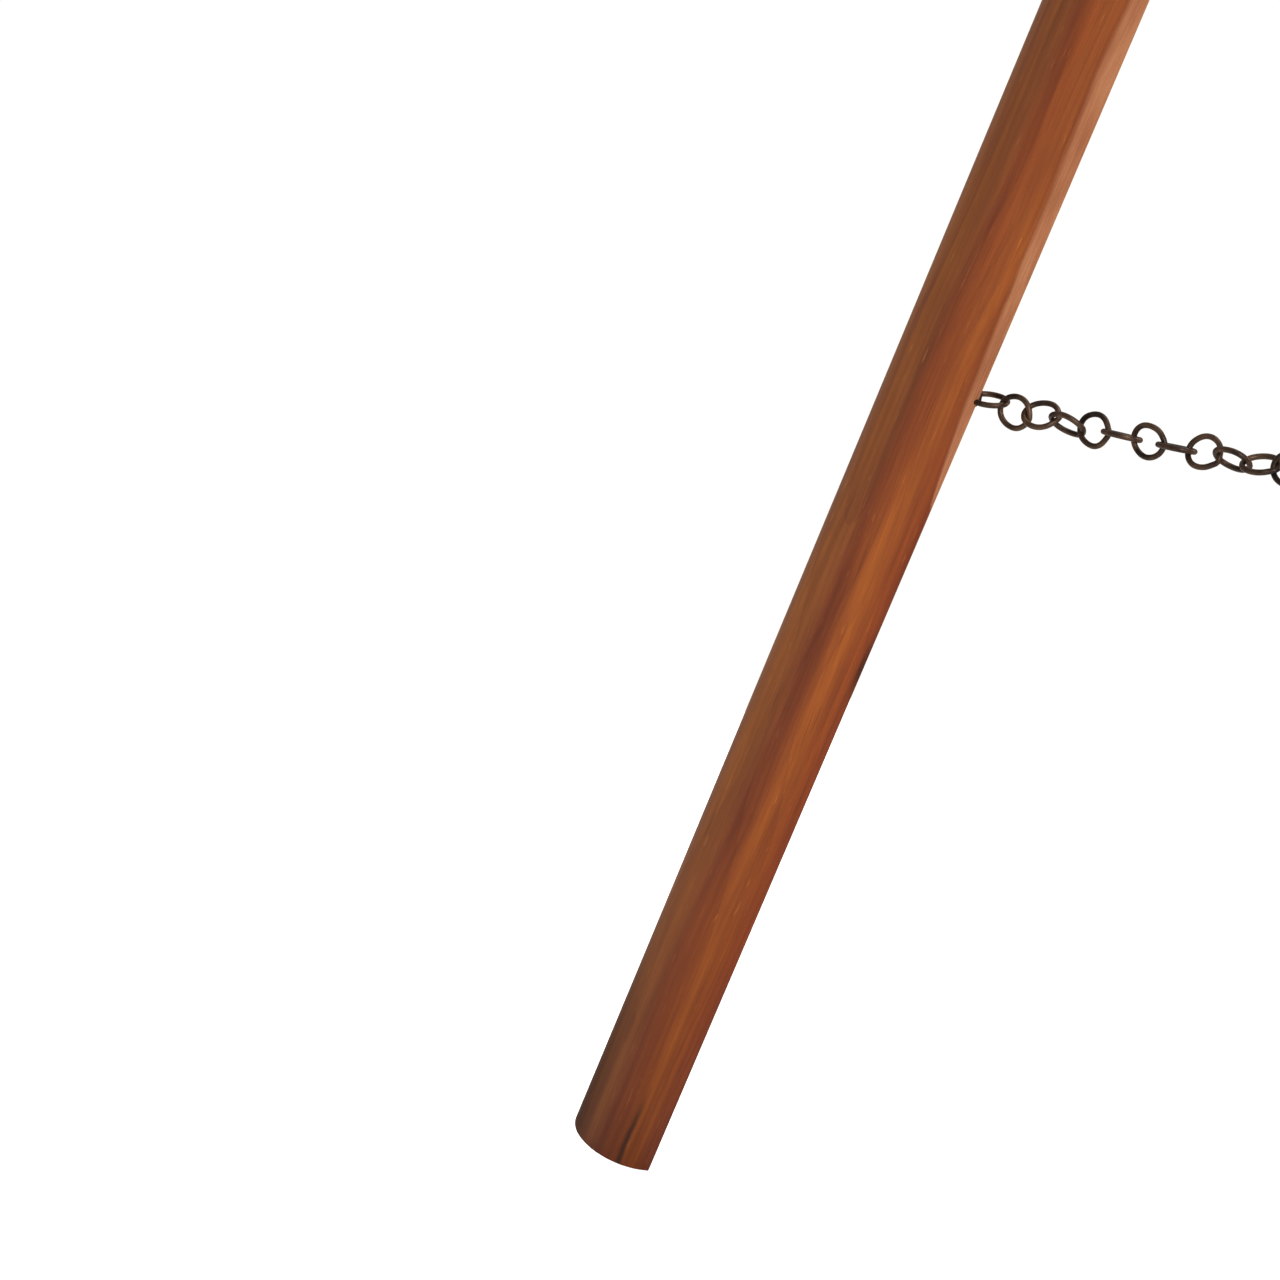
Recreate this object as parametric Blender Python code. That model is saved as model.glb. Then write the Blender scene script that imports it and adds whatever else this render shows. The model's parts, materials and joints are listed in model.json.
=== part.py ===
"""A porch swing bench that hangs from a folding A-frame stand of half-round log legs.

Frame: X along the top beam, front towards -Y, +Z up, floor at z = 0, origin under the middle.
Each empty stands on the axis of the body that hangs on it.
"""

import math

import bmesh
import bpy
from mathutils import Matrix, Vector

# Driving dimensions, in metres and degrees.
GAP = 0.0004  # clearance between pieces that touch
LOG_RADIUS = 0.050  # the round that each half log was sawn from
LOG_CUT = 0.0158  # distance from the log's centre to the sawn flat
LEG_SLANT = 27.0  # each leg, from the vertical
LEG_LENGTH = 2.080  # pivot to foot
LEG_TOP = 0.075  # leg above the pivot
FRAME_HALF = 1.020  # from the middle to the joint face between the two legs
LEG_CLEARANCE = 0.001  # between the two flats at the pivot
SEAT_CUT_DEPTH = 0.006  # planed seat in the front leg for the end of the beam
BEAM_RADIUS = 0.052
BOLT_RADIUS = 0.008
BOLT_DEPTH = 0.090  # pivot bolt inside the beam
WASHER_RADIUS = 0.022
WASHER_THICKNESS = 0.003
HEAD_RADIUS = 0.013
HEAD_HEIGHT = 0.010

CHAIN_RADIUS = 0.0039  # a solid rod of this size weighs about what rings of 4 mm wire do
SPREADER_REACH = 1.290  # pivot to leg eye, along the leg
SPREADER_SAG = 0.069
BACK_CHAIN_INSET = 0.0110  # chain plane, from the joint face
FRONT_CHAIN_INSET = 0.0205
EYE_RADIUS = 0.008
EYE_WIRE = 0.0024
HANGER_RADIUS = 0.014
SEAT_EYE_RADIUS = 0.011
EYE_SHANK = 0.024
EYE_STANDOFF = 0.002  # front leg's eye, clear of the wood
SPREADER_CLEARANCE = 0.0015  # between a leg's eye and the end of its chain
CHAIN_CLEARANCE = 0.001  # between other rings and the ends of their chains
DRILL_DEEPER = 0.003  # blind holes, beyond what they hold
BEAM_CHAMFER = 0.004
BOLT_POINT = 0.012  # tapered tip of the pivot bolt
HEAD_CHAMFER = 0.002
NUT_RADIUS = 0.010
NUT_HEIGHT = 0.007
NUT_SEAT_DEPTH = 0.006  # counterbore on top of the beam

CHAIN_X = 0.655
HANGER_DROP = 0.026  # hanger eye below the beam
RING_Z = 1.180
RING_RADIUS = 0.020
RING_WIRE = 0.0035

SEAT_HALF = 0.600
SEAT_Y = -0.067
SEAT_DEPTH = 0.500
SEAT_TOP = 0.450
SLAT_THICKNESS = 0.020
SEAT_SLATS = 5
SLAT_OVERHANG = 0.006  # front slat, beyond the side rails
SLAT_GAP = 0.009
RAIL_HEIGHT = 0.070
RAIL_THICKNESS = 0.036
RAIL_TO_POST = 0.012  # behind the rear rail
FRONT_EYES = 0.165  # from the middle of the seat's depth, towards the front
REAR_EYES = 0.200  # and towards the back
SEAT_SHANK_PROUD = 0.006  # end of a seat eye's shank, inside the rail
BACK_SLANT = 14.0
BACK_LENGTH = 0.680
BACK_SLATS = 4
BACK_SLAT_HEIGHT = 0.082
BACK_SLAT_THICKNESS = 0.018
BACK_SLAT_PITCH = 0.135
BACK_TOP_MARGIN = 0.010  # post above the top slat
BACK_POST_DEPTH = 0.045
POST_SETBACK = 0.002  # post's foot, from the rear ends of the side rails
POST_RISE = 0.012  # post's foot, above the underside of the rails
ARM_TOP = 0.690
ARM_THICKNESS = 0.024
ARM_OUTER = 0.632
ARM_POST_WIDTH = 0.040
ARM_POST_THICKNESS = 0.030
ARM_POST_SETBACK = 0.035  # from the front end of the side rail
ARM_OVERHANG = 0.015  # in front of the side rail
ARM_REAR_UP = 0.34  # where the arm meets the rear of the back, along the post

BRACE_X = 0.745
BRACE_DROP = 0.260
BRACE_INSET = 0.0185  # end of the brace, inside the front leg before it is scribed
BRACE_WIDTH = 0.038
BRACE_THICKNESS = 0.030

# Derived places.
SLANT = math.radians(LEG_SLANT)
LOG_HALF_WIDTH = math.sqrt(LOG_RADIUS**2 - LOG_CUT**2)
LOG_DEPTH = LOG_RADIUS - LOG_CUT
PIVOT_Z = LEG_LENGTH * math.cos(SLANT) + LOG_HALF_WIDTH * math.sin(SLANT)
BEAM_HALF = FRAME_HALF - LEG_CLEARANCE - LOG_DEPTH + SEAT_CUT_DEPTH - GAP
HANGER_Z = PIVOT_Z - BEAM_RADIUS - HANGER_DROP
SEAT_EYE_Z = SEAT_TOP - SLAT_THICKNESS - RAIL_HEIGHT / 2
SEAT_EYES_Y = (SEAT_Y - FRONT_EYES, SEAT_Y + REAR_EYES)
SIDES = (("left", -1), ("right", 1))


def material(name, color, roughness, metallic=0.0):
    made = bpy.data.materials.new(name)
    made.use_nodes = True
    shader = made.node_tree.nodes["Principled BSDF"]
    shader.inputs["Base Color"].default_value = (*color, 1.0)
    shader.inputs["Roughness"].default_value = roughness
    shader.inputs["Metallic"].default_value = metallic
    made.diffuse_color = (*color, 1.0)
    return made


def empty(name, location):
    made = bpy.data.objects.new(name, None)
    made.location = location
    bpy.context.collection.objects.link(made)
    return made


def add_object(name, shape, finish, body, world, rotation=(0, 0, 0)):
    """An object of a bmesh, at a world place, under the empty of its body."""
    bmesh.ops.recalc_face_normals(shape, faces=shape.faces)
    mesh = bpy.data.meshes.new(name)
    shape.to_mesh(mesh)
    shape.free()
    mesh.materials.append(finish)
    made = bpy.data.objects.new(name, mesh)
    bpy.context.collection.objects.link(made)
    made.parent = body
    made.location = Vector(world) - body.location
    made.rotation_euler = rotation
    return made


def smooth(piece, angle=35):
    piece.data.shade_smooth()
    piece.data.set_sharp_from_angle(angle=math.radians(angle))


def hide_cutter(cutter):
    cutter.hide_render = True
    cutter.display_type = "WIRE"


def boolean(piece, other, operation):
    modifier = piece.modifiers.new(operation.title(), "BOOLEAN")
    modifier.operation = operation
    modifier.object = other
    hide_cutter(other)


def bevel(piece, width):
    modifier = piece.modifiers.new("Bevel", "BEVEL")
    modifier.width = width
    modifier.segments = 2
    modifier.limit_method = "ANGLE"


def box_mesh(size):
    shape = bmesh.new()
    bmesh.ops.create_cube(shape, size=1.0)
    bmesh.ops.scale(shape, vec=size, verts=shape.verts)
    return shape


def board(name, size, finish, body, world, rotation=(0, 0, 0), edge=0.003):
    """A sawn board with eased edges, centred on a world place."""
    made = add_object(name, box_mesh(size), finish, body, world, rotation)
    bevel(made, edge)
    return made


def rod_mesh(stations, sides, axis="Z", phase=0.5):
    """A turned solid from (distance along the axis, radius) stations; phase turns its facets."""
    shape = bmesh.new()
    turn = {"X": Matrix.Rotation(math.pi / 2, 4, "Y"), "Z": Matrix.Identity(4)}[axis]
    rings = []
    for along, radius in stations:
        corners = []
        for k in range(sides):
            angle = 2 * math.pi * (k + phase) / sides
            point = turn @ Vector((radius * math.cos(angle), radius * math.sin(angle), along))
            corners.append(shape.verts.new(point))
        rings.append(corners)
    for low, high in zip(rings, rings[1:]):
        for k in range(sides):
            after = (k + 1) % sides
            shape.faces.new((low[k], low[after], high[after], high[k]))
    shape.faces.new(reversed(rings[0]))
    shape.faces.new(rings[-1])
    return shape


def torus_mesh(radius, wire, around=24, across=8):
    """A ring in the local XZ plane, so that its hole runs along Y."""
    shape = bmesh.new()
    rings = []
    for k in range(around):
        turn = 2 * math.pi * k / around
        corners = []
        for j in range(across):
            tilt = 2 * math.pi * j / across
            reach = radius + wire * math.cos(tilt)
            point = (reach * math.cos(turn), wire * math.sin(tilt), reach * math.sin(turn))
            corners.append(shape.verts.new(point))
        rings.append(corners)
    for k in range(around):
        low, high = rings[k], rings[(k + 1) % around]
        for j in range(across):
            after = (j + 1) % across
            shape.faces.new((low[j], low[after], high[after], high[j]))
    return shape


def tube(name, points, radius, finish, body):
    """A closed tube through world points."""
    curve = bpy.data.curves.new(name, "CURVE")
    curve.dimensions = "3D"
    curve.bevel_depth = radius
    curve.bevel_resolution = 2
    curve.use_fill_caps = True
    curve.materials.append(finish)
    spline = curve.splines.new("POLY")
    spline.points.add(len(points) - 1)
    for spot, point in zip(spline.points, points):
        spot.co = (*(Vector(point) - body.location), 1.0)
    made = bpy.data.objects.new(name, curve)
    bpy.context.collection.objects.link(made)
    made.parent = body
    return made


def half_log_mesh(outward, low, high, grow=0.0):
    """A half log along Z: the flat at x = 0, the round towards outward (-1 or 1) along X."""
    shape = bmesh.new()
    steps = 20
    radius = LOG_RADIUS + grow
    half_angle = math.acos((LOG_CUT - grow) / radius)
    ends = []
    for z in (low, high):
        corners = []
        for k in range(steps + 1):
            angle = half_angle * (2 * k / steps - 1)
            x = outward * (radius * math.cos(angle) - LOG_CUT)
            corners.append(shape.verts.new((x, radius * math.sin(angle), z)))
        ends.append(corners)
    for k in range(steps):
        shape.faces.new((ends[0][k], ends[0][k + 1], ends[1][k + 1], ends[1][k]))
    shape.faces.new((ends[0][-1], ends[0][0], ends[1][0], ends[1][-1]))
    shape.faces.new(ends[0])
    shape.faces.new(ends[1])
    return shape


def leg_frame(front):
    """Rotation of a leg's local frame: its Z runs up the leg, its Y towards the back."""
    return Matrix.Rotation(-SLANT if front else SLANT, 4, "X")


def leg_point(side, front, x, across, up):
    """World place from a leg's own axes: across it (towards the back) and up it from the pivot."""
    local = leg_frame(front) @ Vector((0, across, up))
    return Vector((side * x, local.y, PIVOT_Z + local.z))


def make_legs(word, side, finish, stand, fold):
    """The front leg is inside with its flat outwards, the back leg outside with its flat inwards."""
    for front in (True, False):
        name = ("front" if front else "back") + "_leg_" + word
        x = side * (FRAME_HALF - (LEG_CLEARANCE if front else 0.0))
        outward = -side if front else side
        shape = half_log_mesh(outward, -LEG_LENGTH, LEG_TOP)
        slant = (-SLANT if front else SLANT, 0, 0)
        leg = add_object(name, shape, finish, stand if front else fold, (x, 0, PIVOT_Z), slant)
        drill = rod_mesh(((-0.1, BOLT_RADIUS + GAP), (0.1, BOLT_RADIUS + GAP)), 24, "X")
        boolean(leg, add_object(name + "_drill", drill, finish, stand, (x, 0, PIVOT_Z)), "DIFFERENCE")
        cut_eye_hole(leg, name, side, front, finish, stand)
        if front:
            cut_beam_seat(leg, name, side, finish, stand)
        smooth(leg)


def cut_beam_seat(leg, name, side, finish, stand):
    """The planed seat where the end of the beam stands against the leg's round side."""
    inner = FRAME_HALF - LEG_CLEARANCE - LOG_DEPTH + SEAT_CUT_DEPTH
    cutter = box_mesh((0.1, 2.2 * BEAM_RADIUS, 2.2 * BEAM_RADIUS))
    place = (side * (inner - 0.05), 0, PIVOT_Z)
    boolean(leg, add_object(name + "_seat_cut", cutter, finish, stand, place), "DIFFERENCE")


def eye_place(side, front):
    """Centre of a leg's eye, where its chain starts."""
    if front:
        return leg_point(side, True, FRAME_HALF - FRONT_CHAIN_INSET, front_eye_reach(), -SPREADER_REACH)
    return leg_point(side, False, FRAME_HALF - BACK_CHAIN_INSET, 0.0, -SPREADER_REACH)


def front_log_half_width():
    """Half width of the front leg's round at the depth of its eye screw."""
    depth = FRONT_CHAIN_INSET - LEG_CLEARANCE
    return math.sqrt(LOG_RADIUS**2 - (LOG_CUT + depth) ** 2)


def front_eye_reach():
    return front_log_half_width() + EYE_RADIUS + EYE_WIRE + EYE_STANDOFF


def shank_mesh(direction, start, end, radius):
    """A straight shank along a local direction, from start to end."""
    shape = rod_mesh(((start, radius), (end, radius)), 10)
    turn = Vector((0, 0, 1)).rotation_difference(Vector(direction)).to_matrix()
    bmesh.ops.rotate(shape, matrix=turn, verts=shape.verts)
    return shape


def cut_eye_hole(leg, name, side, front, finish, stand):
    place = eye_place(side, front)
    direction = (0, -1, 0) if front else (side, 0, 0)
    hole = shank_mesh(direction, 0.0, EYE_RADIUS + EYE_SHANK + DRILL_DEEPER, EYE_WIRE + GAP)
    slant = (-SLANT if front else SLANT, 0, 0)
    boolean(leg, add_object(name + "_eye_hole", hole, finish, stand, place, slant), "DIFFERENCE")


def make_leg_eyes(word, side, finish, stand, fold):
    """Screw eyes for the spreader chain: in the back leg's flat and in the front leg's rear edge."""
    for front in (True, False):
        name = ("front" if front else "back") + "_leg_eye_" + word
        body = stand if front else fold
        place = eye_place(side, front)
        slant = (-SLANT if front else SLANT, 0, 0)
        ring = torus_mesh(EYE_RADIUS, EYE_WIRE, 20)
        turn = Matrix.Rotation(math.pi / 2, 3, "Z" if front else "X")
        bmesh.ops.rotate(ring, matrix=turn, verts=ring.verts)
        eye = add_object(name, ring, finish, body, place, slant)
        direction = (0, -1, 0) if front else (side, 0, 0)
        shank = shank_mesh(direction, EYE_RADIUS, EYE_RADIUS + EYE_SHANK, EYE_WIRE)
        boolean(eye, add_object(name + "_shank", shank, finish, body, place, slant), "UNION")
        smooth(eye)


def spreader_point(side, share):
    """A point of the slack spreader chain, share 0 at the back eye and 1 at the front eye."""
    start = eye_place(side, False)
    end = eye_place(side, True)
    point = start.lerp(end, share)
    point.x = start.x if share < 0.5 else end.x
    point.z -= 4 * SPREADER_SAG * share * (1 - share)
    return point


def make_spreader(word, side, finish, back_hang, front_hang):
    """The chain in two halves, side by side at the middle, so that they can hang when folded."""
    span = (eye_place(side, True) - eye_place(side, False)).length
    clear = (EYE_RADIUS + EYE_WIRE + SPREADER_CLEARANCE) / span
    steps = 14
    for name, low, high, body in (
        ("back_spreader_chain_" + word, clear, 0.499, back_hang),
        ("front_spreader_chain_" + word, 0.501, 1 - clear, front_hang),
    ):
        shares = [low + (high - low) * k / steps for k in range(steps + 1)]
        tube(name, [spreader_point(side, share) for share in shares], CHAIN_RADIUS, finish, body)


def make_beam(wood, stand):
    stations = (
        (-BEAM_HALF, BEAM_RADIUS - BEAM_CHAMFER),
        (-BEAM_HALF + BEAM_CHAMFER, BEAM_RADIUS),
        (BEAM_HALF - BEAM_CHAMFER, BEAM_RADIUS),
        (BEAM_HALF, BEAM_RADIUS - BEAM_CHAMFER),
    )
    beam = add_object("top_beam", rod_mesh(stations, 32, "X"), wood, stand, (0, 0, PIVOT_Z))
    for word, side in SIDES:
        bore = BOLT_RADIUS + GAP
        reach = BOLT_DEPTH + DRILL_DEEPER
        drill = rod_mesh(((-reach, bore), (reach, bore)), 24, "X", 0.3)
        place = (side * BEAM_HALF, 0, PIVOT_Z)
        boolean(beam, add_object("beam_bore_" + word, drill, wood, stand, place), "DIFFERENCE")
        bore = RING_WIRE + GAP
        drill = rod_mesh(((-0.1, bore), (0.1, bore)), 16, phase=0.3)
        place = (side * CHAIN_X, 0, PIVOT_Z)
        boolean(beam, add_object("beam_eye_bore_" + word, drill, wood, stand, place), "DIFFERENCE")
        bore = HEAD_RADIUS + 0.002
        seat = rod_mesh(((BEAM_RADIUS - NUT_SEAT_DEPTH, bore), (BEAM_RADIUS + 0.01, bore)), 24, phase=0.3)
        boolean(beam, add_object("beam_nut_seat_" + word, seat, wood, stand, place), "DIFFERENCE")
    smooth(beam)


def make_pivots(word, side, metal, stand):
    """A lag bolt through both legs into the end of the beam, with a washer under its head."""
    outer = FRAME_HALF + LOG_DEPTH + GAP
    ring = rod_mesh(((0, WASHER_RADIUS), (WASHER_THICKNESS, WASHER_RADIUS)), 32, "X")
    if side < 0:
        bmesh.ops.translate(ring, vec=(-WASHER_THICKNESS, 0, 0), verts=ring.verts)
    washer = add_object("pivot_washer_" + word, ring, metal, stand, (side * outer, 0, PIVOT_Z))
    bore = BOLT_RADIUS + GAP
    hole = rod_mesh(((-0.01, bore), (0.01, bore)), 24, "X")
    place = (side * outer, 0, PIVOT_Z)
    boolean(washer, add_object("washer_bore_" + word, hole, metal, stand, place), "DIFFERENCE")
    smooth(washer)
    head = outer + WASHER_THICKNESS + GAP
    tip = BEAM_HALF - BOLT_DEPTH
    stations = (
        (tip, BOLT_RADIUS * 0.5),
        (tip + BOLT_POINT, BOLT_RADIUS),
        (head, BOLT_RADIUS),
        (head, HEAD_RADIUS),
        (head + HEAD_HEIGHT - HEAD_CHAMFER, HEAD_RADIUS),
        (head + HEAD_HEIGHT, HEAD_RADIUS - HEAD_CHAMFER),
    )
    shape = rod_mesh(stations, 24, "X")
    if side < 0:
        bmesh.ops.scale(shape, vec=(-1, 1, 1), verts=shape.verts)
    smooth(add_object("pivot_bolt_" + word, shape, metal, stand, (0, 0, PIVOT_Z)))


def brace_ends(side):
    """Centres of a brace's two ends: in the beam and in the front leg's inner side."""
    upper = Vector((side * BRACE_X, 0, PIVOT_Z))
    lower = leg_point(side, True, FRAME_HALF - BRACE_INSET, 0, -BRACE_DROP)
    return upper, lower


def make_brace(word, side, wood, stand):
    """A flat brace in the plane of the beam and the front leg, scribed to both."""
    upper, lower = brace_ends(side)
    along = (lower - upper).normalized()
    normal = leg_frame(True) @ Vector((0, 1, 0))
    width = normal.cross(along).normalized()
    turn = Matrix((width, normal, along)).transposed().to_euler()
    length = (lower - upper).length
    middle = (upper + lower) / 2
    brace = add_object(
        "brace_" + word, box_mesh((BRACE_WIDTH, BRACE_THICKNESS, length)), wood, stand, middle, turn
    )
    bevel(brace, 0.003)
    shape = rod_mesh(((-0.3, BEAM_RADIUS + GAP), (0.3, BEAM_RADIUS + GAP)), 32, "X")
    scribe = add_object("brace_scribe_" + word, shape, wood, stand, upper)
    boolean(brace, scribe, "DIFFERENCE")
    shape = half_log_mesh(-side, -0.8, LEG_TOP, GAP)
    place = (side * (FRAME_HALF - LEG_CLEARANCE), 0, PIVOT_Z)
    trim = add_object("brace_trim_" + word, shape, wood, stand, place, (-SLANT, 0, 0))
    boolean(brace, trim, "DIFFERENCE")
    smooth(brace)


def make_hanger(word, side, metal, stand):
    """An eye bolt down through the beam, its hole along X, and its nut in a seat on top."""
    place = (side * CHAIN_X, 0, HANGER_Z)
    ring = torus_mesh(HANGER_RADIUS, RING_WIRE)
    bmesh.ops.rotate(ring, matrix=Matrix.Rotation(math.pi / 2, 3, "Z"), verts=ring.verts)
    eye = add_object("hanger_eye_" + word, ring, metal, stand, place)
    top = PIVOT_Z + BEAM_RADIUS - HANGER_Z + NUT_SEAT_DEPTH
    shank = rod_mesh(((HANGER_RADIUS, RING_WIRE), (top, RING_WIRE)), 12)
    boolean(eye, add_object("hanger_shank_" + word, shank, metal, stand, place), "UNION")
    smooth(eye)
    base = PIVOT_Z + BEAM_RADIUS - NUT_SEAT_DEPTH + GAP
    nut = rod_mesh(((0, NUT_RADIUS), (NUT_HEIGHT, NUT_RADIUS)), 6)
    bore = rod_mesh(((-0.01, RING_WIRE + GAP), (0.02, RING_WIRE + GAP)), 16)
    place = (side * CHAIN_X, 0, base)
    made = add_object("hanger_nut_" + word, nut, metal, stand, place)
    boolean(made, add_object("nut_bore_" + word, bore, metal, stand, place), "DIFFERENCE")


def straight_points(start, end, trim_start, trim_end, steps=6):
    """Points along a straight chain, trimmed clear of the hardware at each end."""
    start, end = Vector(start), Vector(end)
    along = (end - start).normalized()
    low = start + along * trim_start
    high = end - along * trim_end
    return [low.lerp(high, k / steps) for k in range(steps + 1)]


def make_suspension(word, side, metal, swing, seat):
    hang = (side * CHAIN_X, 0, HANGER_Z)
    ring_place = (side * CHAIN_X, 0, RING_Z)
    hanger_trim = HANGER_RADIUS + RING_WIRE + CHAIN_CLEARANCE
    seat_trim = SEAT_EYE_RADIUS + EYE_WIRE + CHAIN_CLEARANCE
    ring_trim = RING_RADIUS + RING_WIRE + CHAIN_CLEARANCE
    tube(
        "upper_chain_" + word,
        straight_points(hang, ring_place, hanger_trim, ring_trim),
        CHAIN_RADIUS,
        metal,
        swing,
    )
    ring = torus_mesh(RING_RADIUS, RING_WIRE)
    bmesh.ops.rotate(ring, matrix=Matrix.Rotation(math.pi / 2, 3, "Z"), verts=ring.verts)
    smooth(add_object("joining_ring_" + word, ring, metal, seat, ring_place))
    for end, y in zip(("front", "rear"), SEAT_EYES_Y):
        seat_eye = (side * CHAIN_X, y, SEAT_EYE_Z)
        tube(
            end + "_chain_" + word,
            straight_points(ring_place, seat_eye, ring_trim, seat_trim),
            CHAIN_RADIUS,
            metal,
            seat,
        )
        eye = add_object(
            end + "_seat_eye_" + word, torus_mesh(SEAT_EYE_RADIUS, EYE_WIRE), metal, seat, seat_eye
        )
        reach = CHAIN_X - SEAT_HALF + RAIL_THICKNESS + SEAT_SHANK_PROUD
        shank = shank_mesh((-side, 0, 0), SEAT_EYE_RADIUS, reach, EYE_WIRE)
        boolean(eye, add_object(end + "_seat_shank_" + word, shank, metal, seat, seat_eye), "UNION")
        smooth(eye)


def make_seat(wood, seat):
    """Side rails, cross rails, a middle bearer and the slats."""
    under = SEAT_TOP - SLAT_THICKNESS - GAP
    rail_z = under - RAIL_HEIGHT / 2
    inner = SEAT_HALF - RAIL_THICKNESS
    for word, side in SIDES:
        place = (side * (SEAT_HALF - RAIL_THICKNESS / 2), SEAT_Y, rail_z)
        rail = board("seat_side_" + word, (RAIL_THICKNESS, SEAT_DEPTH, RAIL_HEIGHT), wood, seat, place)
        for y in SEAT_EYES_Y:
            hole = shank_mesh((1, 0, 0), -0.05, 0.05, EYE_WIRE + GAP)
            spot = (place[0], y, SEAT_EYE_Z)
            boolean(rail, add_object(f"eye_bore_{word}_{y:.2f}", hole, wood, seat, spot), "DIFFERENCE")
    rail_length = 2 * (inner - GAP)
    front_y = SEAT_Y - SEAT_DEPTH / 2 + RAIL_THICKNESS / 2
    back_y = SEAT_Y + SEAT_DEPTH / 2 - BACK_POST_DEPTH - RAIL_THICKNESS / 2 - RAIL_TO_POST
    for name, y in (("front_rail", front_y), ("rear_rail", back_y)):
        board(name, (rail_length, RAIL_THICKNESS, RAIL_HEIGHT), wood, seat, (0, y, rail_z))
    bearer_depth = back_y - front_y - RAIL_THICKNESS - 2 * GAP
    size = (RAIL_THICKNESS, bearer_depth, RAIL_HEIGHT)
    board("middle_bearer", size, wood, seat, (0, (front_y + back_y) / 2, rail_z))
    first = SEAT_Y - SEAT_DEPTH / 2 - SLAT_OVERHANG
    last = back_y + RAIL_THICKNESS / 2
    width = (last - first - SLAT_GAP * (SEAT_SLATS - 1)) / SEAT_SLATS
    for k in range(SEAT_SLATS):
        y = first + width / 2 + k * (width + SLAT_GAP)
        place = (0, y, SEAT_TOP - SLAT_THICKNESS / 2)
        board(f"seat_slat_{k + 1}", (2 * SEAT_HALF, width, SLAT_THICKNESS), wood, seat, place)


def back_point(x, out, up):
    """World place on the back: out towards the front from the posts' front faces, up along them."""
    lean = math.radians(BACK_SLANT)
    foot_y = SEAT_Y + SEAT_DEPTH / 2 - BACK_POST_DEPTH - POST_SETBACK
    foot_z = SEAT_TOP - SLAT_THICKNESS - RAIL_HEIGHT - GAP
    y = foot_y + up * math.sin(lean) - out * math.cos(lean)
    return Vector((x, y, foot_z + up * math.cos(lean) + out * math.sin(lean)))


def make_back(wood, seat):
    """Leaning posts inside the side rails, with boards across their front faces."""
    lean = (-math.radians(BACK_SLANT), 0, 0)
    post_x = SEAT_HALF - RAIL_THICKNESS * 1.5 - GAP
    for word, side in SIDES:
        place = back_point(side * post_x, -BACK_POST_DEPTH / 2, BACK_LENGTH / 2 + POST_RISE)
        board("back_post_" + word, (RAIL_THICKNESS, BACK_POST_DEPTH, BACK_LENGTH), wood, seat, place, lean)
    length = 2 * (SEAT_HALF - RAIL_THICKNESS - GAP)
    for k in range(BACK_SLATS):
        up = BACK_LENGTH + POST_RISE - BACK_SLAT_HEIGHT / 2 - BACK_TOP_MARGIN - BACK_SLAT_PITCH * k
        place = back_point(0, BACK_SLAT_THICKNESS / 2 + GAP, up)
        size = (length, BACK_SLAT_THICKNESS, BACK_SLAT_HEIGHT)
        board(f"back_slat_{BACK_SLATS - k}", size, wood, seat, place, lean)


def make_arms(word, side, wood, seat):
    inner = SEAT_HALF - RAIL_THICKNESS + GAP
    width = ARM_OUTER - inner
    front = SEAT_Y - SEAT_DEPTH / 2 - ARM_OVERHANG
    rear = back_point(0, -BACK_POST_DEPTH, ARM_REAR_UP).y
    place = (side * (ARM_OUTER + inner) / 2, (front + rear) / 2, ARM_TOP - ARM_THICKNESS / 2)
    board("armrest_" + word, (width, rear - front, ARM_THICKNESS), wood, seat, place, edge=0.006)
    low = SEAT_TOP - SLAT_THICKNESS - RAIL_HEIGHT
    high = ARM_TOP - ARM_THICKNESS - GAP
    y = SEAT_Y - SEAT_DEPTH / 2 + ARM_POST_SETBACK
    place = (side * (SEAT_HALF + GAP + ARM_POST_THICKNESS / 2), y, (low + high) / 2)
    board("arm_post_" + word, (ARM_POST_THICKNESS, ARM_POST_WIDTH, high - low), wood, seat, place)


def main():
    for found in list(bpy.data.objects):
        bpy.data.objects.remove(found)
    wood = material("stained_wood", (0.20, 0.065, 0.025), 0.38)
    slat_wood = material("slat_wood", (0.24, 0.085, 0.035), 0.42)
    chain_metal = material("bronze_chain", (0.055, 0.038, 0.030), 0.40, 1.0)
    bolt_metal = material("dark_bolt", (0.050, 0.042, 0.036), 0.45, 1.0)
    stand = empty("stand", (0, 0, 0))
    swing = empty("swing", (0, 0, HANGER_Z))
    seat = empty("seat", (0, 0, RING_Z))
    make_beam(wood, stand)
    for word, side in SIDES:
        fold = empty("fold_" + word, (side * FRAME_HALF, 0, PIVOT_Z))
        back_hang = empty("back_hang_" + word, eye_place(side, False))
        front_hang = empty("front_hang_" + word, eye_place(side, True))
        make_legs(word, side, wood, stand, fold)
        make_leg_eyes(word, side, chain_metal, stand, fold)
        make_spreader(word, side, chain_metal, back_hang, front_hang)
        make_pivots(word, side, bolt_metal, stand)
        make_brace(word, side, wood, stand)
        make_hanger(word, side, bolt_metal, stand)
        make_suspension(word, side, chain_metal, swing, seat)
        make_arms(word, side, slat_wood, seat)
    make_seat(slat_wood, seat)
    make_back(slat_wood, seat)


main()
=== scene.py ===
"""Looks of the porch swing: half-log stand, ring chains, bench, camera, light and floor.

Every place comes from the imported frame. Each wooden piece is built with its grain along its own Z.
"""

import json
import math
import random

import bmesh
import bpy
from mathutils import Matrix, Vector, noise


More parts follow.
